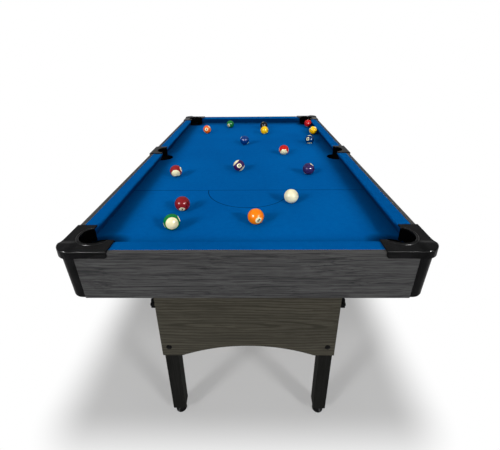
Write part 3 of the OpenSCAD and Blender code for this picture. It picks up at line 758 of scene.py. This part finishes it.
def make_bolt_fittings(washer_look, socket_shade_look):
    for end, sy in ENDS:
        sets = {"bolt_washers_": [], "bolt_socket_shades_": []}
        for sx in (-1, 1):
            for z in BOLT_Z:
                at = (sx * BOLT_X, sy * PANEL_OUT, z)
                sets["bolt_washers_"].append(ring_mesh(at, WASHER_RINGS, 32, sy))
                sets["bolt_socket_shades_"].append(ring_mesh(at, SOCKET_RINGS, 6, sy))
        for name, parts in sets.items():
            verts, faces = [], []
            for v, f in parts:
                faces += [[i + len(verts) for i in face] for face in f]
                verts += v
            look = washer_look if "washer" in name else socket_shade_look
            piece = add_piece(name + end, verts, faces, look, "leg_frame_" + end, smooth=False)


# CAD nodes

def dress(node, look, bevel=0.0):
    """Gives a node its material and, where bevel is set, softly rounded edges."""
    if node.material_slots:
        for slot in node.material_slots:
            slot.material = look
    else:
        node.data.materials.append(look)
    if bevel:
        weld = node.modifiers.new("weld", "WELD")
        weld.merge_threshold = 0.00002
        flat = node.modifiers.new("flat", "DECIMATE")
        flat.decimate_type = "DISSOLVE"
        flat.angle_limit = math.radians(0.5)
        edge = node.modifiers.new("edge", "BEVEL")
        edge.width = bevel
        edge.segments = 2
        edge.limit_method = "ANGLE"
        edge.angle_limit = math.radians(38)
        edge.use_clamp_overlap = True
        node.modifiers.new("normals", "WEIGHTED_NORMAL").keep_sharp = True


def dress_nodes():
    grey = dict(dark=(0.022, 0.022, 0.023), light=(0.074, 0.074, 0.074),
                edge=(0.076, 0.075, 0.073), gloss=0.0)
    apron_x = grain_look("grey_oak_across", 0, **grey)
    apron_y = grain_look("grey_oak_along", 1, **grey)
    pine = dict(dark=(0.46, 0.30, 0.15), light=(0.66, 0.48, 0.28), rough=0.6, size=0.7)
    panel = grain_look("brown_oak", 0, (0.0225, 0.0205, 0.0145), (0.054, 0.0495, 0.037),
                       figure=0.17)
    black = moulded_look("black_moulding", (0.004, 0.004, 0.004), (0.007, 0.007, 0.0075), 0.22,
                         gloss=0.012, pockets=0.2)
    cup = moulded_look("black_cup", (0.0015, 0.0015, 0.0015), (0.003, 0.003, 0.003), 0.8,
                       gloss=0.0)
    leg = grain_look("black_leg", 2, (0.005, 0.005, 0.0045), (0.010, 0.010, 0.0093), rough=0.6,
                     gloss=0.01, side=(0.012, 0.012, 0.011))
    pine_x = grain_look("pine_across", 0, **pine)
    pine_y = grain_look("pine_along", 1, **pine)
    board = speckled_look("fibreboard", (0.24, 0.16, 0.09), (0.42, 0.30, 0.19))
    rubber = speckled_look("natural_rubber", (0.30, 0.21, 0.12), (0.45, 0.33, 0.20))
    steel = moulded_look("black_steel", (0.012, 0.012, 0.012), (0.022, 0.022, 0.022), 0.45, 1600)
    zinc = moulded_look("zinc", (0.48, 0.48, 0.47), (0.62, 0.62, 0.62), 0.34, 2200, 0.00006, 1.0)
    bolt = moulded_look("black_oxide", (0.004, 0.004, 0.004), (0.008, 0.008, 0.008), 0.32, 2200,
                        0.00005, gloss=0.01)
    # start of a node's name, material, bevel of its edges
    rules = (
        ("apron_near", apron_x, 0.0012), ("apron_far", apron_x, 0.0012),
        ("apron_", apron_y, 0.0012), ("corner_posts", black, 0.0010),
        ("corner_cap", black, 0.0008), ("side_cap", black, 0.0008),
        ("corner_cup", cup, 0.0), ("side_cup", cup, 0.0),
        ("bed_board", board, 0.0), ("bed_ledgers", pine_y, 0.001),
        ("bed_stringers", pine_y, 0.001), ("hinge_boards", pine_x, 0.001),
        ("rail_boards", pine_y, 0.0), ("cushion_rubbers", rubber, 0.0),
        ("leg_brackets", steel, 0.0004), ("bracket_ears", steel, 0.0004),
        ("pivot_bolts", zinc, 0.0005), ("legs_", leg, 0.002),
        ("leg_panel", panel, 0.0012), ("leg_stretcher", leg, 0.0015),
        ("panel_bolts", bolt, 0.0), ("clamp_knob", black, 0.0010),
        ("levelling_foot", black, 0.0008),
    )
    for name, node in nodes.items():
        for start, look, bevel in rules:
            if name.startswith(start):
                dress(node, look, bevel)
                break
    return black, bolt


# Floor, light and background

def stage_plane(name, size, z, look):
    mesh = bpy.data.meshes.new(name)
    h = size / 2
    mesh.from_pydata([(-h, -h, z), (h, -h, z), (h, h, z), (-h, h, z)], [], [(0, 1, 2, 3)])
    mesh.materials.append(look)
    plane = bpy.data.objects.new(name, mesh)
    scene.collection.objects.link(plane)


# Painted shadow round the table on the floor: shift to the left, half size and width of its fade to
# white
SHADOW_SHIFT, SHADOW_HALF, SHADOW_FADE = (0.022, 0.0, 0.0), (0.55, 0.80, 0.0), 0.255


def make_floor():
    """Pale floor that the camera and reflections see turn to plain white away from the table; round
    the table less of the white shows, a painted shadow over the floor's real shadow.
    """
    look = Look("pale_floor", Roughness=0.7, Specular_IOR_Level=0.2)
    at = look.coords["Object"]
    cloud = look.noise(at, 3, 3)
    look.set("Base Color", look.mix(cloud, (0.305, 0.305, 0.305), (0.325, 0.325, 0.325)))
    white = look.add("Emission")
    white.inputs["Color"].default_value = (1, 1, 1, 1)
    white.inputs["Strength"].default_value = 1.0
    path = look.add("LightPath").outputs
    seen = look.math("MAXIMUM", path["Is Camera Ray"],
                     look.math("MAXIMUM", path["Is Glossy Ray"], path["Is Transmission Ray"]))
    past = look.vector("ABSOLUTE", look.vector("ADD", at, SHADOW_SHIFT))
    past = look.vector("SUBTRACT", past, SHADOW_HALF)
    past = look.vector("MAXIMUM", past, (0, 0, 0))
    # Painted shadow: near the table less of the white glow shows.
    pale = look.fade(look.vector("LENGTH", past, out=1), 0.0, SHADOW_FADE, 0.27, 1.0)
    share = look.math("MULTIPLY", pale, seen)
    blend = look.add("MixShader")
    look.feed(blend.inputs[0], share)
    look.feed(blend.inputs[1], look.shader.outputs[0])
    look.feed(blend.inputs[2], white.outputs[0])
    out = next(n for n in look.tree.nodes if n.type == "OUTPUT_MATERIAL")
    look.tree.links.new(blend.outputs[0], out.inputs[0])
    stage_plane("floor", 60, 0.0, look.mat)


def make_world():
    """Soft light from above; the camera and reflections see plain white."""
    world = bpy.data.worlds.new("studio")
    scene.world = world
    world.use_nodes = True
    tree = world.node_tree
    tree.nodes.clear()

    def add(kind, *values):
        node = tree.nodes.new("ShaderNode" + kind)
        for socket, value in zip(node.inputs, values):
            if isinstance(value, bpy.types.NodeSocket):
                tree.links.new(value, socket)
            elif value is not None:
                socket.default_value = value
        return node

    split = add("SeparateXYZ", add("TexCoord").outputs["Generated"])
    above = add("MapRange", split.outputs["Z"], 0.25, 0.80, 0.04, 0.12)
    above.interpolation_type = "SMOOTHSTEP"
    soft = add("Background", (1, 1, 1, 1), above.outputs[0])
    white = add("Background", (1, 1, 1, 1), 1.0)
    path = add("LightPath").outputs
    seen = path["Is Camera Ray"]
    for ray in ("Is Glossy Ray", "Is Transmission Ray"):
        either = add("Math", seen, path[ray])
        either.operation = "MAXIMUM"
        seen = either.outputs[0]
    blend = add("MixShader", seen, soft.outputs[0], white.outputs[0])
    add("OutputWorld", blend.outputs[0])


def area_light(name, at, aim, size, watts, mirrored=False):
    """A rectangular lamp; its second size runs along the table, or upwards if it is aimed along it.
    Mirrored lamps show only as highlights, the others only light."""
    data = bpy.data.lights.new(name, "AREA")
    data.shape = "RECTANGLE"
    data.size, data.size_y = size
    data.energy = watts
    out = (Vector(at) - Vector(aim)).normalized()
    along = Vector((0, 1, 0)) if abs(out.y) < 0.7 else Vector((0, 0, 1))
    side = along.cross(out).normalized()
    turn = Matrix((side, out.cross(side), out)).transposed().to_4x4()
    lamp = bpy.data.objects.new(name, data)
    lamp.matrix_world = Matrix.Translation(at) @ turn
    lamp.visible_glossy = mirrored
    lamp.visible_diffuse = not mirrored
    scene.collection.objects.link(lamp)


def make_light():
    for name, way in SIDES:
        area_light("key_" + name, (way * 4.6, -5.4, 4.2), (0, 0, 0.76), (1.4, 1.4), 380)
        area_light("strip_" + name, (way * 1.55, -0.35, 1.80), (0, -0.35, 0.76), (0.6, 2.4), 5)
        area_light("umbrella_" + name, (way * 2.6, -3.2, 2.4), (0, 0, 0.76), (1.0, 1.0), 850,
                   mirrored=True)
    area_light("overhead", (0, 1.3, 2.8), (0, 1.3, 0), (2.0, 2.0), 22)


make_camera()
moulding, bolt_black = dress_nodes()
bed_felt = cloth_look("bed_felt", (0.0, 0.078, 0.285), (0.0, 0.114, 0.385), lines=True)
# The rails' cloth is the bed's cloth painted darker, a painted shade; face adds more below the
# noses.
rail_felt = cloth_look("rail_felt", (0.0, 0.066, 0.244), (0.0, 0.098, 0.331), face=0.42)
make_bed_cloth(bed_felt)
make_rails(rail_felt)
polished = moulded_look("polished_edge", (0.008, 0.008, 0.008), (0.012, 0.012, 0.012), 0.2,
                        gloss=0.10)
make_corner_caps(moulding, polished)
flank = moulded_look("lip_flank", (0.006, 0.006, 0.006), (0.009, 0.009, 0.009), 0.28, gloss=0.034)
make_cap_lips(moulding, polished, flank)
ink = moulded_look("number_ink", (0.012, 0.012, 0.012), (0.020, 0.020, 0.020), 0.3)
make_balls(ink)
socket = moulded_look("socket_shade", (0.002, 0.002, 0.002), (0.004, 0.004, 0.004), 0.8)
make_bolt_fittings(bolt_black, socket)
make_floor()
make_world()
make_light()
scene.view_settings.view_transform = "Standard"
